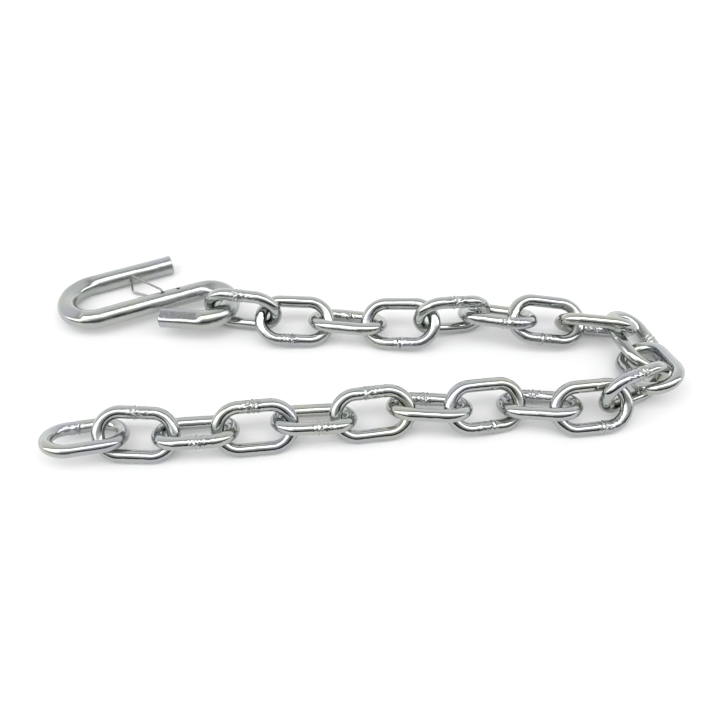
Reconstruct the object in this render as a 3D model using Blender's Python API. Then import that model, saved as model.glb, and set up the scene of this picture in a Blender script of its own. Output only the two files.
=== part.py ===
"""Trailer safety chain: welded links laid in a hairpin, an S-hook and its spring wire latch.

Metres, +Z up, lying on a level floor at z = 0. The chain runs mostly along X. The origin is the centre of
the model's box at floor level.
"""
import math

import bpy
import numpy as np
from mathutils import Matrix, Vector

MM = 0.001

# Chain link: round wire bent to an oval and welded
LINK_WIRE = 7.0 * MM
LINK_PITCH = 31.0 * MM
LINK_INSIDE_WIDTH = 15.0 * MM
LINK_SIDES = 10
LINK_ARC_STEPS = 10

# How each link lies, one row a link from the hook to the free end: centre x, centre y and lift of the
# lowest point off the floor in millimetres, then in degrees its heading (long axis in plan), lean (roll
# about the long axis) and slope (rise along the long axis)
LINK_LIES = (
    (-65.5, 24.5, 0.0, -11, 91, 3),
    (-36.5, 20.0, 1.0, 2, 29, -5),
    (-7.0, 20.0, 0.0, -12, -29, 5),
    (22.5, 16.5, 1.0, -7, 37, 7),
    (51.0, 19.5, 0.0, 13, 95, -9),
    (76.5, 20.0, 4.5, -15, -31, 5),
    (103.5, 17.5, 3.5, 0, 26, -9),
    (130.0, 13.5, 0.0, -13, -59, 5),
    (152.0, 6.0, 0.0, -66, -23, -5),
    (154.5, -15.5, 1.0, -78, 16, 19),
    (142.5, -32.0, 0.0, -151, 88, 7),
    (119.5, -42.0, 0.5, -172, -42, 1),
    (93.0, -39.5, 0.0, 168, 27, -9),
    (64.5, -41.5, 0.0, -167, -41, 7),
    (35.5, -43.5, 4.0, 174, 30, -3),
    (6.5, -46.5, 0.0, -173, -46, -2),
    (-23.5, -50.0, 2.5, -174, 28, 3),
    (-53.0, -55.5, 0.0, -173, -49, 1),
    (-83.0, -58.0, 2.5, -177, 26, -2),
    (-113.0, -59.0, 0.0, 180, -39, 4),
    (-138.5, -61.0, 2.0, -162, 21, 9),
)

# S-hook: one bar bent in its own XY plane, with its shank along X and the bowl's tangent point at x = 0
HOOK_WIRE = 11.0 * MM
HOOK_SIDES = 12
HOOK_END_CHAMFER = 0.8 * MM
BOWL_RADIUS = 16.8 * MM
BOWL_STEPS = 15
TIP_LEG = 48.0 * MM
SHANK = 56.5 * MM
EYE_RADIUS = 14.0 * MM
EYE_TURN = math.radians(211)
EYE_STEPS = 16
FREE_LEG = 22.0 * MM
HOOK_SPOT = (-145.0 * MM, 22.5 * MM)
HOOK_HEADING = math.radians(22)
HOOK_ROLL = math.radians(8.5)

# Cross holes through the shank, at right angles to the hook's plane
HOLE_RADIUS = 1.1 * MM
HOLE_SIDES = 12
HINGE_HOLE = (36.0 * MM, 1.2 * MM)
SECOND_HOLE = (45.0 * MM, 1.2 * MM)

# Latch: one spring wire, given as its corners in the hook's directions from the middle of the hinge hole
LATCH_WIRE = 1.4 * MM
LATCH_SIDES = 8
LATCH_BEND_RADIUS = 1.6 * MM
LATCH_BEND_STEPS = 4
LATCH_CORNERS = (
    (0.0, 0.0, 1.5 * MM),
    (0.0, 0.0, 6.8 * MM),
    (-13.0 * MM, 27.0 * MM, 3.0 * MM),
    (-14.8 * MM, 23.0 * MM, -5.6 * MM),
    (8.6 * MM, 0.3 * MM, -6.7 * MM),
)

ZINC = {"Base Color": (0.80, 0.82, 0.83, 1.0), "Metallic": 1.0, "Roughness": 0.28}
SPRING_STEEL = {"Base Color": (0.62, 0.62, 0.60, 1.0), "Metallic": 1.0, "Roughness": 0.35}


def clear_scene():
    for old in list(bpy.data.objects):
        bpy.data.objects.remove(old, do_unlink=True)


def principled(name, values):
    material = bpy.data.materials.new(name)
    material.use_nodes = True
    shader = material.node_tree.nodes["Principled BSDF"]
    for socket, value in values.items():
        shader.inputs[socket].default_value = value
    return material


def arc(centre, radius, start, turn, steps):
    """Points of a circular arc in the XY plane, both ends included."""
    angles = start + turn * np.linspace(0.0, 1.0, steps + 1)
    ring = np.stack([np.cos(angles), np.sin(angles), np.zeros_like(angles)], axis=1)
    return np.array([centre[0], centre[1], 0.0]) + radius * ring


def fillet(corners, radius, steps):
    """A polyline with each inner corner replaced by a tangent arc of the given radius."""
    corners = np.array(corners)
    points = [corners[0]]
    for before, corner, after in zip(corners, corners[1:], corners[2:]):
        into = (before - corner) / np.linalg.norm(before - corner)
        out = (after - corner) / np.linalg.norm(after - corner)
        half = 0.5 * math.acos(np.clip(into @ out, -1.0, 1.0))
        bisector = (into + out) / np.linalg.norm(into + out)
        centre = corner + bisector * radius / math.sin(half)
        first = corner + into * radius / math.tan(half) - centre
        last = corner + out * radius / math.tan(half) - centre
        swing = math.pi - 2.0 * half
        for step in range(steps + 1):
            part = step / steps
            weight_first = math.sin((1.0 - part) * swing) / math.sin(swing)
            weight_last = math.sin(part * swing) / math.sin(swing)
            points.append(centre + first * weight_first + last * weight_last)
    points.append(corners[-1])
    return np.array(points)


def section_frames(path, closed, normal):
    """Two unit vectors across the path at each point, carried along it without twist."""
    if closed:
        tangents = np.roll(path, -1, axis=0) - np.roll(path, 1, axis=0)
    else:
        tangents = np.gradient(path, axis=0)
    tangents /= np.linalg.norm(tangents, axis=1)[:, None]
    up = np.array(normal, dtype=float)
    ups = []
    for tangent in tangents:
        up = up - tangent * (up @ tangent)
        up = up / np.linalg.norm(up)
        ups.append(up)
    ups = np.array(ups)
    return np.cross(ups, tangents), ups


def sweep(name, path, radii, sides, phase, closed, normal=(0.0, 0.0, 1.0)):
    """A tube mesh: a regular polygon of the given radii carried along the path."""
    across, ups = section_frames(path, closed, normal)
    angles = phase + 2.0 * math.pi * np.arange(sides) / sides
    rings = (path[:, None]
             + radii[:, None, None] * (np.cos(angles)[None, :, None] * across[:, None]
                                       + np.sin(angles)[None, :, None] * ups[:, None]))
    count = len(path)
    spans = count if closed else count - 1
    faces = []
    for i in range(spans):
        j = (i + 1) % count
        for a in range(sides):
            b = (a + 1) % sides
            faces.append((i * sides + a, i * sides + b, j * sides + b, j * sides + a))
    if not closed:
        faces.append(tuple(reversed(range(sides))))
        faces.append(tuple(range((count - 1) * sides, count * sides)))
    mesh = bpy.data.meshes.new(name)
    mesh.from_pydata(rings.reshape(-1, 3).tolist(), [], faces)
    mesh.shade_smooth()
    mesh.set_sharp_from_angle(angle=math.radians(50))
    return mesh


def link_mesh():
    """One link about its own centre: two half circles joined by straight sides, in the XY plane."""
    bend = 0.5 * (LINK_INSIDE_WIDTH + LINK_WIRE)
    half_straight = 0.5 * (LINK_PITCH + LINK_WIRE) - bend
    front = arc((half_straight, 0.0), bend, -0.5 * math.pi, math.pi, LINK_ARC_STEPS)
    back = arc((-half_straight, 0.0), bend, 0.5 * math.pi, math.pi, LINK_ARC_STEPS)
    path = np.concatenate([[(0.0, -bend, 0.0)], front, [(0.0, bend, 0.0)], back])
    radii = np.full(len(path), 0.5 * LINK_WIRE)
    return sweep("link", path, radii, LINK_SIDES, 0.0, closed=True)


def hook_path():
    """The S-hook's centreline from the tip to the eye's free end, with its two ends doubled."""
    tip_leg_y = 2.0 * BOWL_RADIUS
    tip = [(TIP_LEG * part, tip_leg_y, 0.0) for part in (1.0, 0.5)]
    bowl = arc((0.0, BOWL_RADIUS), BOWL_RADIUS, 0.5 * math.pi, math.pi, BOWL_STEPS)
    eye = arc((SHANK, -EYE_RADIUS), EYE_RADIUS, 0.5 * math.pi, -EYE_TURN, EYE_STEPS)
    along = np.array([-math.cos(EYE_TURN - math.pi), math.sin(EYE_TURN - math.pi), 0.0])
    free_end = eye[-1] + FREE_LEG * along
    path = np.concatenate([tip, bowl, eye, [free_end]])
    first_inner = path[0] + np.array([-HOOK_END_CHAMFER, 0.0, 0.0])
    last_inner = path[-1] - HOOK_END_CHAMFER * along
    return np.concatenate([path[:1], [first_inner], path[1:-1], [last_inner], path[-1:]])


def hook_mesh():
    path = hook_path()
    radii = np.full(len(path), 0.5 * HOOK_WIRE)
    radii[[0, -1]] -= HOOK_END_CHAMFER
    # One facet of the tip leg faces straight down once the hook has rolled to its resting lie
    facet_down = -0.5 * math.pi + math.pi / HOOK_SIDES - HOOK_ROLL
    return sweep("s_hook", path, radii, HOOK_SIDES, facet_down, closed=False)


def latch_mesh():
    path = fillet(LATCH_CORNERS, LATCH_BEND_RADIUS, LATCH_BEND_STEPS)
    radii = np.full(len(path), 0.5 * LATCH_WIRE)
    return sweep("latch_wire", path, radii, LATCH_SIDES, 0.0, closed=False, normal=(1.0, 0.0, 0.0))


def hole_cutter(hole, hook):
    """A drill-sized prism through the shank, kept out of the model and used by the hook's Boolean."""
    angles = 2.0 * math.pi * np.arange(HOLE_SIDES) / HOLE_SIDES
    rim = np.array(hole) + HOLE_RADIUS * np.stack([np.cos(angles), np.sin(angles)], axis=1)
    points = [(x, y, z) for z in (-HOOK_WIRE, HOOK_WIRE) for x, y in rim]
    faces = [tuple(reversed(range(HOLE_SIDES))), tuple(range(HOLE_SIDES, 2 * HOLE_SIDES))]
    for a in range(HOLE_SIDES):
        b = (a + 1) % HOLE_SIDES
        faces.append((a, b, b + HOLE_SIDES, a + HOLE_SIDES))
    mesh = bpy.data.meshes.new("hole_cutter")
    mesh.from_pydata(points, [], faces)
    cutter = bpy.data.objects.new("hole_cutter", mesh)
    bpy.context.scene.collection.objects.link(cutter)
    cutter.parent = hook
    cutter.hide_render = True
    cutter.display_type = "WIRE"
    drill = hook.modifiers.new("hole", "BOOLEAN")
    drill.operation = "DIFFERENCE"
    drill.solver = "EXACT"
    drill.object = cutter


def add_object(name, mesh, material_name, values):
    """An object of its own, whose material belongs to the object because links share one mesh."""
    if not mesh.materials:
        mesh.materials.append(None)
    piece = bpy.data.objects.new(name, mesh)
    bpy.context.scene.collection.objects.link(piece)
    piece.material_slots[0].link = "OBJECT"
    piece.material_slots[0].material = principled(material_name, values)
    return piece


def lie_matrix(heading, lean, slope):
    """Turn a piece whose long axis is X: first its lean, then its slope, then its heading."""
    return (Matrix.Rotation(heading, 4, "Z") @ Matrix.Rotation(-slope, 4, "Y")
            @ Matrix.Rotation(lean, 4, "X"))


def place(piece, turn, x, y, lift):
    """Set the piece down at x, y so that its lowest vertex is lift above the floor."""
    lowest = min((turn @ vertex.co).z for vertex in piece.data.vertices)
    piece.matrix_world = Matrix.Translation((x, y, lift - lowest)) @ turn


def centre_on_origin(pieces):
    """Shift every piece in plan so that the origin is the centre of the whole model's box."""
    bpy.context.view_layer.update()
    corners = [piece.matrix_world @ vertex.co for piece in pieces for vertex in piece.data.vertices]
    low = [min(corner[axis] for corner in corners) for axis in (0, 1)]
    high = [max(corner[axis] for corner in corners) for axis in (0, 1)]
    for piece in pieces:
        if piece.parent is None:
            piece.location.x -= 0.5 * (low[0] + high[0])
            piece.location.y -= 0.5 * (low[1] + high[1])
    bpy.context.view_layer.update()


def main():
    clear_scene()
    shared_link = link_mesh()
    pieces = []
    for number, (x, y, lift, heading, lean, slope) in enumerate(LINK_LIES, start=1):
        link = add_object(f"link_{number:02d}", shared_link, f"zinc_link_{number:02d}", ZINC)
        turn = lie_matrix(math.radians(heading), math.radians(lean), math.radians(slope))
        place(link, turn, x * MM, y * MM, lift * MM)
        pieces.append(link)

    hook = add_object("s_hook", hook_mesh(), "zinc_hook", ZINC)
    place(hook, lie_matrix(HOOK_HEADING, -HOOK_ROLL, 0.0), *HOOK_SPOT, 0.0)
    latch = add_object("latch_wire", latch_mesh(), "spring_steel", SPRING_STEEL)
    latch.parent = hook
    latch.location = (*HINGE_HOLE, 0.0)
    pieces += [hook, latch]
    centre_on_origin(pieces)
    hole_cutter(HINGE_HOLE, hook)
    hole_cutter(SECOND_HOLE, hook)


main()
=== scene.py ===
"""Looks of a zinc-plated trailer safety chain: welded links, an S-hook and its spring wire latch.

Metres, +Z up, in the solids' own frame. Each wire is one surface: a round section carried along the
centreline of the solid that it stands for.
"""

import math

import bpy
import numpy as np
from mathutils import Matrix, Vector


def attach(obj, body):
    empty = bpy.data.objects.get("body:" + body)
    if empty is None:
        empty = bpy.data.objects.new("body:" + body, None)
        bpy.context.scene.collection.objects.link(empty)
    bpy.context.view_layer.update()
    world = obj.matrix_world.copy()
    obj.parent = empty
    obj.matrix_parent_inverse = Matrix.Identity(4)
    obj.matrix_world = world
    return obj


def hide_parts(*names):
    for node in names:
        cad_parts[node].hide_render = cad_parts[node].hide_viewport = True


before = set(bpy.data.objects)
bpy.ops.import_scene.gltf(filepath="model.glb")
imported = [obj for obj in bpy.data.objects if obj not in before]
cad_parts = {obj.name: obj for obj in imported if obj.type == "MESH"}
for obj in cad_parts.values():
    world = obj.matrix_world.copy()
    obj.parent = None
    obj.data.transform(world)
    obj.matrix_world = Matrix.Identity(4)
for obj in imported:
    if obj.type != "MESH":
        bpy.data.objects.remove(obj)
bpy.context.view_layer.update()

MM = 0.001

# Wire of a link, its bend and half of its straight side, both on the centreline, and once round it
LINK_WIRE = 6.70 * MM
LINK_BEND = 11.0 * MM
LINK_HALF_STRAIGHT = 8.0 * MM
LINK_LAP = 4.0 * LINK_HALF_STRAIGHT + 2.0 * math.pi * LINK_BEND
LINK_STATIONS = 200
LINK_SIDES = 40

# Stations lie closer together near a weld: how far that reaches, how many times denser they get on top
# of their even spacing, and how finely the density is summed
CLOSE_REACH = 6.0 * MM
CLOSE_EXTRA = 3.0
DENSITY_SAMPLES = 4001

# Which bar of each link carries its weld: 1 the one that shows higher in the picture, -1 the lower one
WELD_BARS = (1, -1, 1, -1, 1, -1, -1, -1, 1, -1, 1, -1, 1, -1, 1, 1, -1, 1, -1, 1, 1)

# Which way the clamp marks run out from each weld: 1 to the picture's right, -1 to its left
ROUGH_SIDES = (1, -1, -1, 1, 1, 1, 1, -1, 1, 1, -1, 1, 1, -1, -1, 1, 1, -1, 1, 1, -1)

# How far each weld sits off the middle of its bar, towards the picture's right
WELD_SHIFTS = np.array((
    -2.1, -1.0, -0.3, 0.0, -1.4, 5.4, -2.4,
    0.0, 0.0, 0.0, 0.0, 5.2, -4.5, 3.0,
    -2.0, -2.5, 2.0, 0.0, 1.7, -1.6, -2.0,
)) * MM

# Relief of a weld, in millimetres: heights, and how far along the bar each form reaches. The ridge is
# part even and part ragged, and the clamp marks reach further on the side where the wire was held
SWELLING_HEIGHT = 0.12
SWELLING_REACH = 3.0
RIDGE_HEIGHT = 0.36
RIDGE_REACH = 0.42
RIDGE_WANDER = 0.35
RIDGE_EVEN = 0.65
RIDGE_RAGGED = 0.35
GROOVE_DEPTH = 0.24
GROOVE_REACH = 0.45
GROOVE_OFFSET = 1.05
CLAMP_MARK_HEIGHT = 0.13
CLAMPED_REACH = 9.0
UNCLAMPED_REACH = 3.4

# How much of the plating's worked look at a weld is even round the wire, and how much varies
WORKED_EVEN = 0.75
WORKED_UNEVEN = 0.25

# How far the bars wander from round, in millimetres
LINK_WAVE = 0.02
HOOK_WAVE = 0.03

# Random waves on a wire: how many, the largest wave number along it, per millimetre, and the largest
# round it. The scale brings their mean to about -1 to 1
RAGGED_WAVES = (5, 0.1, 7)
WANDER_WAVES = (3, 0.1, 3)
CLAMP_WAVES = (16, 3.4, 9)
HOOK_WAVES = (8, 0.22, 2)
RIPPLE_SCALE = 0.9

# Starting numbers of the random draws
LINK_SEED = 100
HOOK_SEED = 7
PATTERN_SEED = 3

# S-hook: one bar bent in its own XY plane, with its shank along X and the bowl's tangent point at x = 0
HOOK_WIRE = 10.8 * MM
HOOK_SIDES = 128
HOOK_STATION = 0.6 * MM
BOWL_RADIUS = 16.8 * MM
TIP_LEG = 48.0 * MM
SHANK = 56.5 * MM
EYE_RADIUS = 14.0 * MM
EYE_TURN = math.radians(211)
FREE_LEG = 22.0 * MM
BOWL_LENGTH = math.pi * BOWL_RADIUS
EYE_LENGTH = EYE_TURN * EYE_RADIUS
HOOK_LENGTH = TIP_LEG + BOWL_LENGTH + SHANK + EYE_LENGTH + FREE_LEG
HOOK_HEADING = math.radians(22)
HOOK_ROLL = math.radians(8.5)
SOLID_HOOK_RADIUS = 5.5 * MM

# Broken edges of the hook's cut ends, the stations that they need, and how far from an end the even
# stations keep
EDGE_LENGTH = 0.8 * MM
EDGE_DEPTH = 0.7 * MM
EDGE_STATIONS = np.array((0.0, 0.08, 0.22, 0.45, 0.8)) * MM
EDGE_CLEAR = 1.0 * MM

# How far from a cut end the plating looks worked, and over what length the bar's wander grows
EDGE_WORN = 0.7 * MM
WAVE_GROWS = 3.0 * MM

# Flats that the bending tools pressed: how far from the bar's middle they lie, how sharp their corners
# are, which way they face, up and a little towards the camera, and how worked their plating looks
FLAT_HEIGHT = 4.45 * MM
FLAT_SHARPNESS = 18.0
FLAT_TILT = math.radians(17)
FLAT_WAY = np.array((0.0, -math.sin(FLAT_TILT), math.cos(FLAT_TILT)))
FLAT_WEAR = 0.1

# Where each flat grows to its full depth and where it fades out again: radians of turn on the bowl and
# the eye, and metres from the start of the free leg
BOWL_FLAT_GROWS = (-0.35, 0.15)
BOWL_FLAT_FADES = (math.pi - 0.66, math.pi - 0.50)
EYE_FLAT_GROWS = (-0.05, 0.60)
EYE_FLAT_FADES = (1.6, 2.2)
LEG_FLAT_GROWS = (-3.0 * MM, 1.0 * MM)

# Cross holes in the shank: their places in the hook's plane, and their radius
HINGE_HOLE = (36.0 * MM, 1.2 * MM)
SECOND_HOLE = (45.0 * MM, 1.2 * MM)
HOLE_RADIUS = 1.1 * MM

# Bit that cuts a hole: its heights from the bar's middle and its radius at each. The bore is the span
# between the third height and the fourth
BIT_HEIGHTS = np.array((-8.0, -5.5, -4.5, 4.5, 5.5, 8.0)) * MM
BIT_RADII = np.array((1.5, 1.5, 1.0, 1.0, 1.5, 1.5)) * HOLE_RADIUS
BIT_SIDES = 32
BORE_SPAN = 2

# Latch: one spring wire, given as its corners in the hook's directions from the middle of the hinge
# hole. Its two ends are a little thinner, and stations closer than the closest are left out
LATCH_WIRE = 1.24 * MM
LATCH_SIDES = 20
LATCH_BEND = 1.6 * MM
LATCH_BEND_POINTS = 13
LATCH_STATION = 0.8 * MM
LATCH_CLOSEST = 0.05 * MM
LATCH_END_SHARE = 0.8
LATCH_CORNERS = np.array((
    (0.0, 0.0, 1.5),
    (0.0, 0.0, 6.8),
    (-13.0, 27.0, 3.0),
    (-14.8, 23.0, -5.6),
    (8.6, 0.3, -6.7),
)) * MM

# Edges sharper than this are shaded as edges
CREASE = math.radians(45)

# Plating: haze, and the height in millimetres of its grain and drawing streaks. The end link is duller
LINK_HAZE = 0.055
END_LINK_HAZE = 0.15
LINK_GRAIN = 0.014
LINK_STREAKS = 0.01
HOOK_HAZE = 0.10
HOOK_GRAIN = 0.06
HOOK_STREAKS = 0.05
HOOK_PATTERN_SHIFT = (0.3, 0.1, 0.2)

# Height in millimetres of the plated wire's slow sway, its dents and its crumpled clamp marks
SWAY_HEIGHT = 0.40
DENT_HEIGHT = 0.10
CRUMPLE_HEIGHT = 0.36

# Haze that the clouds and the worked places add, and how far worked places take on their own colour
CLOUD_HAZE = 0.07
WORKED_HAZE = 0.14
WORKED_TINT = 0.5

ZINC_BLUE = (0.405, 0.415, 0.442, 1.0)
ZINC_GREEN = (0.41, 0.43, 0.415, 1.0)
ZINC_STRAW = (0.435, 0.445, 0.40, 1.0)
ZINC_WORKED = (0.35, 0.36, 0.345, 1.0)
SPRING_DARK = (0.26, 0.265, 0.25, 1.0)
SPRING_LIGHT = (0.38, 0.385, 0.37, 1.0)
# Inside of the holes: near-black painted shade, far darker than bare drilled steel, with slightly paler drill
# marks
BORE_PAINTED_SHADE_DEEP = (0.008, 0.008, 0.008, 1.0)
BORE_PAINTED_SHADE_PALE = (0.02, 0.02, 0.02, 1.0)

# Numbers of the sockets that a name doesn't tell apart: an Attribute node's factor, and the share, first
# colour, second colour and blended colour of a Mix node
ATTRIBUTE_FACTOR = 2
MIX_SHARE = 0
MIX_FIRST = 6
MIX_SECOND = 7
MIX_BLENDED = 2

# Light along the arc over the object, as pairs of degrees from the back and a grey
BACK_LIGHT = (
    (0, 0.33), (12, 0.27), (40, 0.215), (64, 0.205), (74, 0.125), (80, 0.09), (89, 0.09), (95, 0.74),
    (104, 0.82),
)
MIDDLE_LIGHT = BACK_LIGHT + (
    (113, 0.62), (121, 0.38), (129, 0.19), (141, 0.10), (152, 0.055), (161, 0.008), (174, 0.002),
    (179, 0.01),
)
LEFT_LIGHT = BACK_LIGHT + (
    (115, 0.66), (138, 0.42), (147, 0.26), (156, 0.09), (165, 0.01), (174, 0.002), (179, 0.01),
)
LIGHT_BLUE = 0.002
LIGHT_STRENGTH = 5.0

# How far to the camera's left a direction points, of 1, where the left light starts and where it is full
LEFT_STARTS = 0.20
LEFT_FULL = 0.46

# White board under the object: half its side, its grey and its own faint glow
BOARD_HALF = 1.5
BOARD_GREY = 0.65
BOARD_GLOW = 0.14

# Camera at the photograph's angle, looking along +Y and down at a point on the floor
LOOK_DOWN = math.radians(49.1)
LOOK_AT = Vector((1.824 * MM, 0.537 * MM, 0.0))
LOOK_FROM = 522.0 * MM
LENS = 47.1
PICTURE_UP = np.array((0.0, math.sin(LOOK_DOWN), math.cos(LOOK_DOWN)))


def unit(vectors):
    return vectors / np.linalg.norm(vectors, axis=-1, keepdims=True)


def smooth_step(value, low, high):
    """0 up to low and 1 from high, joined by 3 t squared less 2 t cubed."""
    share = np.clip((value - low) / (high - low), 0.0, 1.0)
    return share * share * (3.0 - 2.0 * share)


def section_angles(sides):
    """Angles of a round section's corners, as one row."""
    return 2.0 * math.pi * np.arange(sides)[None, :] / sides


def node_points(node):
    """A solid's own corner points, each once."""
    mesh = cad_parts[node].data
    points = np.empty(len(mesh.vertices) * 3)
    mesh.vertices.foreach_get("co", points)
    return np.unique(points.reshape(-1, 3).round(6), axis=0)


def link_lie(node):
    """Centre, long axis, cross axis and face normal of a link, from how its points spread.

    The spread is widest along the link, then across it and least through it. The long axis is turned to
    the picture's right and the cross axis to its top.
    """
    points = node_points(node)
    centre = points.mean(axis=0)
    axes = np.linalg.svd(points - centre, full_matrices=False)[2]
    along = axes[0] * np.sign(axes[0][0])
    across = axes[1] * np.sign(axes[1] @ PICTURE_UP)
    return centre, along, across, np.cross(along, across)


def waves(rng, count, step_x, most_round):
    """Random plane waves on a wire's surface: pairs of a wave number along it and a whole one round it."""
    return (rng.uniform(-step_x, step_x, count), rng.integers(1, most_round + 1, count),
            rng.uniform(0.0, 2.0 * math.pi, count))


def ripple(x, angle, spectrum):
    """Mean of cos(k x + m angle + phase) over the waves, about -1 to 1, with x in millimetres."""
    k, m, phase = (part[:, None, None] for part in spectrum)
    return np.cos(k * x + m * angle + phase).mean(axis=0) * math.sqrt(len(phase)) * RIPPLE_SCALE


def weld_height(x, angle, rough, rng):
    """How far a link's weld stands off the wire, in millimetres, for x millimetres along the bar.

    A low swelling from the upset ends, one narrow ragged flash ridge that wanders round the wire, a
    groove on each side of it, and clamp marks that fade out as the rough share does.
    """
    ragged = ripple(x * 0.0, angle, waves(rng, *RAGGED_WAVES))
    centre = RIDGE_WANDER * ripple(x * 0.0, angle, waves(rng, *WANDER_WAVES))
    off = x - centre
    swelling = SWELLING_HEIGHT * np.exp(-(x / SWELLING_REACH) ** 2)
    ridge = RIDGE_HEIGHT * (RIDGE_EVEN + RIDGE_RAGGED * ragged) * np.exp(-(off / RIDGE_REACH) ** 2)
    grooves = GROOVE_DEPTH * (np.exp(-((off - GROOVE_OFFSET) / GROOVE_REACH) ** 2)
                              + np.exp(-((off + GROOVE_OFFSET) / GROOVE_REACH) ** 2))
    clamp_marks = CLAMP_MARK_HEIGHT * ripple(x, angle, waves(rng, *CLAMP_WAVES)) * rough
    return swelling + ridge - grooves + clamp_marks


def link_line(s):
    """Centreline point and tangent in the link's own plane for a distance s along it.

    The oval is two straight bars joined by half circles. s starts at the middle of the upper bar and
    runs to the right, down the right crown, back along the lower bar and up the left crown.
    """
    s = np.mod(s + LINK_HALF_STRAIGHT, LINK_LAP)
    second = s >= 0.5 * LINK_LAP
    t = s - np.where(second, 0.5 * LINK_LAP, 0.0)
    side = np.where(second, -1.0, 1.0)
    bend = np.clip(t - 2.0 * LINK_HALF_STRAIGHT, 0.0, math.pi * LINK_BEND) / LINK_BEND
    run = np.clip(t, 0.0, 2.0 * LINK_HALF_STRAIGHT) - LINK_HALF_STRAIGHT
    x = side * (run + LINK_BEND * np.sin(bend))
    y = side * LINK_BEND * np.cos(bend)
    return np.stack([x, y], axis=1), np.stack([side * np.cos(bend), -side * np.sin(bend)], axis=1)


def denser_near(count, length, spot, width, extra):
    """count distances along a loop, packed closer together near one spot: the inverse of a summed density."""
    fine = np.linspace(0.0, length, DENSITY_SAMPLES)
    near = (fine - spot + 0.5 * length) % length - 0.5 * length
    total = np.cumsum(1.0 + extra * np.exp(-(near / width) ** 2))
    wanted = np.arange(count) / count * (total[-1] - total[0]) + total[0]
    return np.interp(wanted, total, fine)


def round_surface(name, path, tangents, up, radii, lengths, closed, shares=None):
    """One closed mesh round a path: point (i, j) is path i + radius ij (cos a side i + sin a up i).

    side is the cross product of up and tangent. A point under the floor is lifted to it. Open wires get
    flat end faces. The UV map holds the distance along the wire and the share of the way round it.
    """
    side = np.cross(up, tangents)
    count, sides = radii.shape
    angle = section_angles(sides)[..., None]
    points = path[:, None] + radii[..., None] * (np.cos(angle) * side[:, None] + np.sin(angle) * up[:, None])
    points[..., 2] = np.maximum(points[..., 2], 0.0)
    spans = count if closed else count - 1
    i = np.repeat(np.arange(spans), sides)
    a = np.tile(np.arange(sides), spans)
    j, b = (i + 1) % count, (a + 1) % sides
    quads = np.stack([i * sides + a, i * sides + b, j * sides + b, j * sides + a], axis=1)
    faces = quads.tolist()
    if not closed:
        faces.append(list(range(sides))[::-1])
        faces.append(list(range((count - 1) * sides, count * sides)))
    mesh = bpy.data.meshes.new(name)
    mesh.from_pydata(points.reshape(-1, 3), [], faces)
    lengths = np.append(lengths, lengths[-1] + (lengths[-1] - lengths[-2]))
    along = np.stack([lengths[i], lengths[i], lengths[i + 1], lengths[i + 1]], axis=1)
    around = np.stack([a, a + 1, a + 1, a], axis=1) / sides
    uv = np.zeros((len(mesh.loops), 2), np.float32)
    uv[:along.size] = np.stack([along.ravel(), around.ravel()], axis=1)
    mesh.uv_layers.new(name="wire").data.foreach_set("uv", uv.ravel())
    if shares is not None:
        worked = mesh.attributes.new("worked", "FLOAT", "POINT")
        worked.data.foreach_set("value", shares.astype(np.float32).ravel())
    mesh.shade_smooth()
    mesh.set_sharp_from_angle(angle=CREASE)
    piece = bpy.data.objects.new(name, mesh)
    bpy.context.scene.collection.objects.link(piece)
    return piece


def make_link(number):
    """A link's wire, a little wavy as bent stock is, with the weld near the middle of its own bar.

    The clamp marks run further out from the weld on one side, where the wire was held.
    """
    node = f"link_{number:02d}"
    rng = np.random.default_rng(LINK_SEED + number)
    centre, along, across, normal = link_lie(node)
    bar = WELD_BARS[number - 1]
    weld_spot = (0.25 * (1 - bar) * LINK_LAP + bar * WELD_SHIFTS[number - 1]) % LINK_LAP
    s = denser_near(LINK_STATIONS, LINK_LAP, weld_spot, CLOSE_REACH, CLOSE_EXTRA)
    line, heading = link_line(s)
    path = centre + line[:, :1] * along + line[:, 1:] * across
    tangents = heading[:, :1] * along + heading[:, 1:] * across
    up = np.broadcast_to(normal, path.shape)
    angle = section_angles(LINK_SIDES)
    x = ((s - weld_spot + 0.5 * LINK_LAP) % LINK_LAP - 0.5 * LINK_LAP)[:, None] / MM
    clamped = x * bar * ROUGH_SIDES[number - 1] > 0.0
    rough = np.exp(-(x / np.where(clamped, CLAMPED_REACH, UNCLAMPED_REACH)) ** 2)
    height = weld_height(x, angle, rough, rng)
    lap_angle = (2.0 * math.pi * s / LINK_LAP)[:, None]
    wavy = LINK_WAVE * np.cos(3 * lap_angle + 2 * angle + rng.uniform(0, 6))
    wavy = wavy * np.cos(2 * lap_angle + rng.uniform(0, 6))
    radii = 0.5 * LINK_WIRE + MM * (height + wavy)
    shares = rough * (WORKED_EVEN + WORKED_UNEVEN * np.cos(angle + rng.uniform(0, 6)))
    piece = round_surface(f"plated_{node}", path, tangents, up, radii, s, True, shares)
    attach(piece, "chain")
    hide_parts(node)
    return piece


def hook_directions():
    """The hook's X, Y and normal directions as it lies: heading in plan, then a roll about its shank."""
    x = np.array((math.cos(HOOK_HEADING), math.sin(HOOK_HEADING), 0.0))
    level = np.array((-math.sin(HOOK_HEADING), math.cos(HOOK_HEADING), 0.0))
    y = level * math.cos(HOOK_ROLL) - np.array((0.0, 0.0, math.sin(HOOK_ROLL)))
    return x, y, np.cross(x, y)


def hook_origin():
    """Where the hook's own origin lies, from its solid's outermost corners.

    They are the far side of the bowl, the outer side of the tip leg and both sides of the hook's plane.
    A corner stops short of the round bar, which leaves the origin up to 0.2 mm off.
    """
    x, y, normal = hook_directions()
    points = node_points("s_hook")
    own = points @ np.stack([x, y, normal], axis=1)
    low, high = own.min(axis=0), own.max(axis=0)
    along = low[0] + BOWL_RADIUS + SOLID_HOOK_RADIUS
    across = high[1] - 2.0 * BOWL_RADIUS - SOLID_HOOK_RADIUS
    return along * x + across * y + 0.5 * (low[2] + high[2]) * normal


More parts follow.
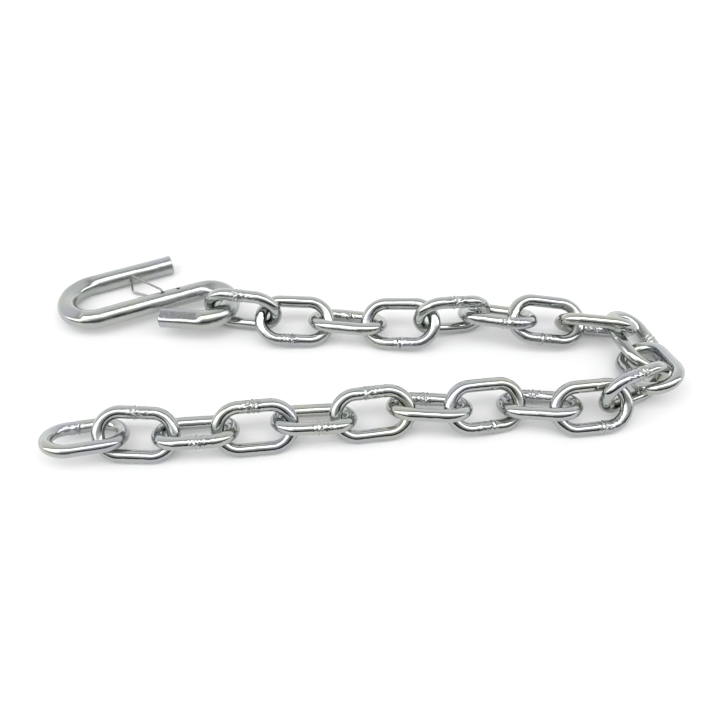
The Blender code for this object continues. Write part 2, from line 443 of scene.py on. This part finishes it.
def hook_stations():
    """Distances along the hook's bar: even steps, and closer ones at the edges of both cut ends."""
    steps = np.arange(0.0, HOOK_LENGTH, HOOK_STATION)
    steps = steps[(steps > EDGE_CLEAR) & (steps < HOOK_LENGTH - EDGE_CLEAR)]
    return np.unique(np.concatenate([EDGE_STATIONS, steps, HOOK_LENGTH - EDGE_STATIONS]))


def hook_line(s):
    """Centreline point and tangent of the hook for a distance s from its tip.

    Straight tip leg, half circle of the bowl, straight shank, the eye's arc turning the other way and a
    straight free leg. The heading is the sum of each arc's turn so far, and the point adds up the five
    runs in closed form.
    """
    leg = np.clip(s, 0.0, TIP_LEG)
    a = np.clip((s - TIP_LEG) / BOWL_RADIUS, 0.0, math.pi)
    shank = np.clip(s - TIP_LEG - BOWL_LENGTH, 0.0, SHANK)
    b = np.clip((s - TIP_LEG - BOWL_LENGTH - SHANK) / EYE_RADIUS, 0.0, EYE_TURN)
    free = np.clip(s - TIP_LEG - BOWL_LENGTH - SHANK - EYE_LENGTH, 0.0, None)
    heading = math.pi + a - b
    x = (TIP_LEG - leg - BOWL_RADIUS * np.sin(a) + shank + EYE_RADIUS * np.sin(b)
         + free * math.cos(EYE_TURN))
    y = (BOWL_RADIUS * (1.0 + np.cos(a)) - EYE_RADIUS * (1.0 - np.cos(b)) - free * math.sin(EYE_TURN))
    return np.stack([x, y], axis=1), np.stack([np.cos(heading), np.sin(heading)], axis=1)


def broken_edge(from_end):
    """How much thinner the bar is near a cut end: a quarter of an ellipse, edge length by edge depth."""
    share = np.clip(1.0 - (1.0 - from_end / EDGE_LENGTH) ** 2, 0.0, 1.0)
    return np.where(from_end < EDGE_LENGTH, EDGE_DEPTH * (1.0 - np.sqrt(share)), 0.0)


def flat_share(s):
    """How much of a flat the bar has at a distance s from its tip, 0 to 1.

    The bending tools left it a little flat on top at the bowl, at the start of the eye and at the free
    leg. Each flat is a smooth step up, and on the arcs a smooth step down again.
    """
    bowl_turn = (s - TIP_LEG) / BOWL_RADIUS
    eye_turn = (s - TIP_LEG - BOWL_LENGTH - SHANK) / EYE_RADIUS
    leg_start = HOOK_LENGTH - FREE_LEG
    bowl = smooth_step(bowl_turn, *BOWL_FLAT_GROWS) * (1.0 - smooth_step(bowl_turn, *BOWL_FLAT_FADES))
    eye = smooth_step(eye_turn, *EYE_FLAT_GROWS) * (1.0 - smooth_step(eye_turn, *EYE_FLAT_FADES))
    leg = smooth_step(s, leg_start + LEG_FLAT_GROWS[0], leg_start + LEG_FLAT_GROWS[1])
    return np.maximum(np.maximum(bowl, leg), eye)


def flattened(radii, angle, facing):
    """Radii of a section pressed flat on one side, with rounded corners.

    The flat is the line at the flat's height from the middle, facing the given angle, so its radius is
    height / cos(angle - facing). The two radii are joined by the power mean of their inverses.
    """
    towards = np.maximum(np.cos(angle - facing), 0.0)
    return (radii ** -FLAT_SHARPNESS + (towards / FLAT_HEIGHT) ** FLAT_SHARPNESS) ** (-1.0 / FLAT_SHARPNESS)


def make_hook(skin, wall):
    """The hook's bar with broken edges at both cut ends, its flats, and its two cross holes drilled."""
    x, y, normal = hook_directions()
    origin = hook_origin()
    s = hook_stations()
    line, heading = hook_line(s)
    path = origin + line[:, :1] * x + line[:, 1:] * y
    tangents = heading[:, :1] * x + heading[:, 1:] * y
    up = np.broadcast_to(normal, path.shape)
    side = np.cross(up, tangents)
    from_end = np.minimum(s, HOOK_LENGTH - s)[:, None]
    angle = section_angles(HOOK_SIDES)
    rng = np.random.default_rng(HOOK_SEED)
    wavy = HOOK_WAVE * ripple(s[:, None] / MM, angle, waves(rng, *HOOK_WAVES))
    radii = (0.5 * HOOK_WIRE - broken_edge(from_end)
             + MM * wavy * np.clip(from_end / WAVE_GROWS, 0.0, 1.0))
    facing = np.arctan2(up @ FLAT_WAY, side @ FLAT_WAY)[:, None]
    share = flat_share(s[:, None])
    radii = radii + share * (flattened(radii, angle, facing) - radii)
    worn = np.maximum(np.exp(-(from_end / EDGE_WORN) ** 2), FLAT_WEAR * share) * np.ones_like(angle)
    piece = round_surface("plated_s_hook", path, tangents, up, radii, s, False, worn)
    piece.data.materials.append(skin)
    piece.data.materials.append(wall)
    for hole in (HINGE_HOLE, SECOND_HOLE):
        drill_hole(piece, origin + hole[0] * x + hole[1] * y, normal)
    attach(piece, "chain")
    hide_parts("s_hook")
    return piece


def drill_hole(piece, middle, direction):
    """A round hole right through, cut with a bit that widens at both mouths.

    The bit's bore brings the second material, the wall painted near-black as painted shade inside the hole;
    its cones leave the plating.
    """
    path = middle + BIT_HEIGHTS[:, None] * direction
    tangents = np.broadcast_to(direction, path.shape)
    up = unit(np.cross(tangents, (1.0, 0.0, 0.0)))
    radii = np.repeat(BIT_RADII[:, None], BIT_SIDES, axis=1)
    bit = round_surface("bit", path, tangents, up, radii, BIT_HEIGHTS, False)
    for material in piece.data.materials:
        bit.data.materials.append(material)
    bored = np.arange(len(bit.data.polygons)) // BIT_SIDES == BORE_SPAN
    bit.data.polygons.foreach_set("material_index", bored.astype(np.int32))
    cut = piece.modifiers.new("hole", "BOOLEAN")
    cut.operation = "DIFFERENCE"
    cut.solver = "EXACT"
    cut.object = bit
    bpy.context.view_layer.update()
    evaluated = piece.evaluated_get(bpy.context.evaluated_depsgraph_get())
    drilled = bpy.data.meshes.new_from_object(evaluated)
    piece.modifiers.clear()
    piece.data = drilled
    bpy.data.objects.remove(bit)


def rounded_line(corners, radius, step):
    """Points of a bent wire: straight runs between corners, each corner an arc tangent to both runs.

    An arc's points are its centre plus the two tangent radii, blended by sines of the angles still to
    turn and already turned.
    """
    runs = [corners[:1]]
    for before, corner, after in zip(corners, corners[1:], corners[2:]):
        into, out = unit(before - corner), unit(after - corner)
        half = 0.5 * math.acos(into @ out)
        centre = corner + unit(into + out) * radius / math.sin(half)
        first = corner + into * radius / math.tan(half) - centre
        last = corner + out * radius / math.tan(half) - centre
        swing = math.pi - 2.0 * half
        part = np.linspace(0.0, 1.0, LATCH_BEND_POINTS)[:, None]
        runs.append(centre + (first * np.sin((1.0 - part) * swing) + last * np.sin(part * swing))
                    / math.sin(swing))
    runs.append(corners[-1:])
    knots = np.concatenate(runs)
    reach = np.concatenate([[0.0], np.cumsum(np.linalg.norm(np.diff(knots, axis=0), axis=1))])
    s = np.union1d(np.arange(0.0, reach[-1], step), reach)
    s = s[np.concatenate([[True], np.diff(s) > LATCH_CLOSEST])]
    return s, np.stack([np.interp(s, reach, knots[:, k]) for k in range(3)], axis=1)


def make_latch():
    """The latch's wire from the end in the hinge hole round to the end under the second hole."""
    x, y, normal = hook_directions()
    hinge = hook_origin() + HINGE_HOLE[0] * x + HINGE_HOLE[1] * y
    s, own = rounded_line(LATCH_CORNERS, LATCH_BEND, LATCH_STATION)
    path = hinge + own @ np.stack([x, y, normal])
    tangents = unit(np.gradient(path, s, axis=0))
    reference = unit(x + y)
    up = unit(reference - (tangents @ reference)[:, None] * tangents)
    radii = np.full((len(s), LATCH_SIDES), 0.5 * LATCH_WIRE)
    radii[[0, -1]] *= LATCH_END_SHARE
    piece = round_surface("spring_latch_wire", path, tangents, up, radii, s, False)
    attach(piece, "latch")
    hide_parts("latch_wire")
    return piece


class Socket:
    """A node's output that can be used in arithmetic, which adds Math nodes."""

    def __init__(self, recipe, socket):
        self.recipe = recipe
        self.socket = socket

    def math(self, operation, first, second):
        return self.recipe.node("ShaderNodeMath", {"operation": operation}, {0: first, 1: second})

    def __add__(self, other):
        return self.math("ADD", self, other)

    def __radd__(self, other):
        return self.math("ADD", other, self)

    def __mul__(self, other):
        return self.math("MULTIPLY", self, other)

    def __rmul__(self, other):
        return self.math("MULTIPLY", other, self)

    def __truediv__(self, other):
        return self.math("DIVIDE", self, other)

    def __rtruediv__(self, other):
        return self.math("DIVIDE", other, self)


class Recipe:
    """The nodes of a material, or of the light all round, under construction."""

    def __init__(self, made, shader):
        made.use_nodes = True
        self.made = made
        self.tree = made.node_tree
        self.shader = self.tree.nodes[shader]

    def node(self, kind, settings=None, inputs=None, output=0):
        """Add a node: its settings first, then each input from a link or a plain value."""
        added = self.tree.nodes.new(kind)
        for name, value in (settings or {}).items():
            if name == "stops":
                self.set_stops(added.color_ramp, value)
            else:
                setattr(added, name, value)
        for name, value in (inputs or {}).items():
            self.feed(added.inputs[name], value)
        return Socket(self, added.outputs[output])

    def feed(self, target, value):
        if isinstance(value, Socket):
            self.tree.links.new(value.socket, target)
        else:
            target.default_value = value

    def set_stops(self, ramp, stops):
        while len(ramp.elements) < len(stops):
            ramp.elements.new(0.5)
        for element, (position, colour) in zip(ramp.elements, stops):
            element.position = position
            element.color = colour

    def shade(self, **values):
        for name, value in values.items():
            self.feed(self.shader.inputs[name.replace("_", " ")], value)


def new_material(name):
    return Recipe(bpy.data.materials.new(name), "Principled BSDF")


def grey(value):
    return (value, value, value, 1.0)


def noise(recipe, place, scale, detail=2.0, roughness=0.5, distortion=0.0):
    return recipe.node("ShaderNodeTexNoise", {}, {
        "Vector": place, "Scale": scale, "Detail": detail, "Roughness": roughness,
        "Distortion": distortion})


def between(recipe, value, low, high):
    """Smooth step of a value from low to high."""
    return recipe.node("ShaderNodeMapRange", {"interpolation_type": "SMOOTHSTEP"}, {
        "Value": value, "From Min": low, "From Max": high})


def stretched(recipe, place, along, around):
    """Places on a wire's own UV map, stretched to so many units a metre along it and a turn round it."""
    return recipe.node("ShaderNodeVectorMath", {"operation": "MULTIPLY"}, {0: place, 1: (along, around, 1.0)})


def blend_colours(recipe, share, first, second):
    return recipe.node("ShaderNodeMix", {"data_type": "RGBA"}, {
        MIX_SHARE: share, MIX_FIRST: first, MIX_SECOND: second}, output=MIX_BLENDED)


def plating(name, shift, haze, grain_height, streak_height):
    """Bright zinc plating: grey with faint blue, green and straw tints, hazy in soft clouds.

    The relief is a slow sway of the bar, shallow dents from tumbling, the plating's fine grain, streaks
    from drawing along the wire and crumpled clamp marks where the wire was worked.
    """
    recipe = new_material(name)
    place = recipe.node("ShaderNodeTexCoord", output="Object")
    place = recipe.node("ShaderNodeMapping", {}, {"Vector": place, "Location": shift})
    worked = recipe.node("ShaderNodeAttribute", {"attribute_name": "worked"}, output=ATTRIBUTE_FACTOR)
    wire = recipe.node("ShaderNodeUVMap", {"uv_map": "wire"})
    cloud = noise(recipe, place, scale=70.0, detail=3.0)
    tint = noise(recipe, place, scale=38.0, distortion=0.4)
    sway = noise(recipe, place, scale=85.0, detail=1.0)
    dents = noise(recipe, place, scale=260.0)
    grain = noise(recipe, place, scale=1500.0, detail=3.0, roughness=0.6)
    crumple = noise(recipe, place, scale=800.0, roughness=0.6)
    streaks = noise(recipe, stretched(recipe, wire, 160.0, 50.0), scale=1.0, detail=3.0, roughness=0.6)
    colour = blend_colours(recipe, between(recipe, tint, 0.35, 0.47), ZINC_BLUE, ZINC_GREEN)
    colour = blend_colours(recipe, between(recipe, tint, 0.52, 0.68), colour, ZINC_STRAW)
    colour = blend_colours(recipe, worked * WORKED_TINT, colour, ZINC_WORKED)
    roughness = haze + between(recipe, cloud, 0.35, 0.7) * CLOUD_HAZE + worked * WORKED_HAZE
    height = (sway * SWAY_HEIGHT + dents * DENT_HEIGHT + grain * grain_height
              + crumple * worked * CRUMPLE_HEIGHT + streaks * streak_height)
    normal = recipe.node("ShaderNodeBump", {}, {"Strength": 1.0, "Distance": MM, "Height": height})
    recipe.shade(Base_Color=colour, Roughness=roughness, Metallic=1.0, Normal=normal)
    return recipe.made


def painted_shade_hole_wall():
    """Inside of a drilled hole, painted near-black as painted shade for the dark of the hole: dull, with the
    drill's marks.
    """
    recipe = new_material("hole_painted_shade")
    place = recipe.node("ShaderNodeTexCoord", output="Object")
    marks = noise(recipe, place, scale=900.0)
    colour = blend_colours(recipe, between(recipe, marks, 0.4, 0.6), BORE_PAINTED_SHADE_DEEP, BORE_PAINTED_SHADE_PALE)
    recipe.shade(Base_Color=colour, Roughness=0.7 + marks * 0.2)
    return recipe.made


def spring_wire():
    """Drawn spring wire, duller and darker than the plating, with fine streaks along it."""
    recipe = new_material("spring_steel")
    wire = recipe.node("ShaderNodeUVMap", {"uv_map": "wire"})
    streaks = noise(recipe, stretched(recipe, wire, 90.0, 9.0), scale=3.0, detail=3.0)
    colour = blend_colours(recipe, between(recipe, streaks, 0.35, 0.65), SPRING_DARK, SPRING_LIGHT)
    recipe.shade(Base_Color=colour, Roughness=0.12 + streaks * 0.2, Metallic=1.0)
    return recipe.made


def make_floor():
    """A plain white board under the object."""
    half = BOARD_HALF
    mesh = bpy.data.meshes.new("floor")
    mesh.from_pydata([(-half, -half, 0.0), (half, -half, 0.0), (half, half, 0.0), (-half, half, 0.0)],
                     [], [(0, 1, 2, 3)])
    floor = bpy.data.objects.new("floor", mesh)
    bpy.context.scene.collection.objects.link(floor)
    recipe = new_material("white_board")
    recipe.shade(Base_Color=grey(BOARD_GREY), Roughness=0.9,
                 Emission_Color=grey(1.0), Emission_Strength=BOARD_GLOW)
    mesh.materials.append(recipe.made)


def studio_ramp(recipe, share, light):
    """The light along the arc over the object. A trace of blue shows only where the room is darkest."""
    stops = [(degrees / 180.0, (value, value, value + LIGHT_BLUE, 1.0)) for degrees, value in light]
    return recipe.node("ShaderNodeValToRGB", {"stops": stops}, {0: share})


def make_studio():
    """Soft light from all round: a bright strip overhead towards the camera, and a dark room low in front.

    The brightness follows the angle of a direction over the object, from the back (0) to the front (1).
    On the camera's left the strip is wider, down to the camera's own height.
    """
    recipe = Recipe(bpy.data.worlds.new("studio"), "Background")
    bpy.context.scene.world = recipe.made
    place = recipe.node("ShaderNodeTexCoord", output="Generated")
    rightward, backward, upward = (
        recipe.node("ShaderNodeSeparateXYZ", {}, {0: place}, output=axis) for axis in "XYZ")
    angle = recipe.node("ShaderNodeMath", {"operation": "ARCTAN2"}, {0: upward, 1: backward})
    share = angle / math.pi
    middle = studio_ramp(recipe, share, MIDDLE_LIGHT)
    left = studio_ramp(recipe, share, LEFT_LIGHT)
    leftness = between(recipe, rightward * -1.0, LEFT_STARTS, LEFT_FULL)
    recipe.shade(Color=blend_colours(recipe, leftness, middle, left), Strength=LIGHT_STRENGTH)


def make_camera():
    data = bpy.data.cameras.new("camera")
    data.lens = LENS
    camera = bpy.data.objects.new("camera", data)
    bpy.context.scene.collection.objects.link(camera)
    camera.location = LOOK_AT + LOOK_FROM * Vector((0.0, -math.cos(LOOK_DOWN), math.sin(LOOK_DOWN)))
    camera.rotation_euler = (0.5 * math.pi - LOOK_DOWN, 0.0, 0.0)
    bpy.context.scene.camera = camera


def main():
    bpy.context.scene.view_settings.view_transform = "Standard"
    make_camera()
    make_floor()
    make_studio()
    rng = np.random.default_rng(PATTERN_SEED)
    for number in range(1, len(WELD_BARS) + 1):
        shift = tuple(float(value) for value in rng.uniform(0.0, 1.0, 3))
        haze = END_LINK_HAZE if number == len(WELD_BARS) else LINK_HAZE
        finish = plating(f"zinc_link_{number:02d}", shift, haze, LINK_GRAIN, LINK_STREAKS)
        make_link(number).data.materials.append(finish)
    make_hook(plating("zinc_hook", HOOK_PATTERN_SHIFT, HOOK_HAZE, HOOK_GRAIN, HOOK_STREAKS), painted_shade_hole_wall())
    make_latch().data.materials.append(spring_wire())


main()
bpy.context.view_layer.update()
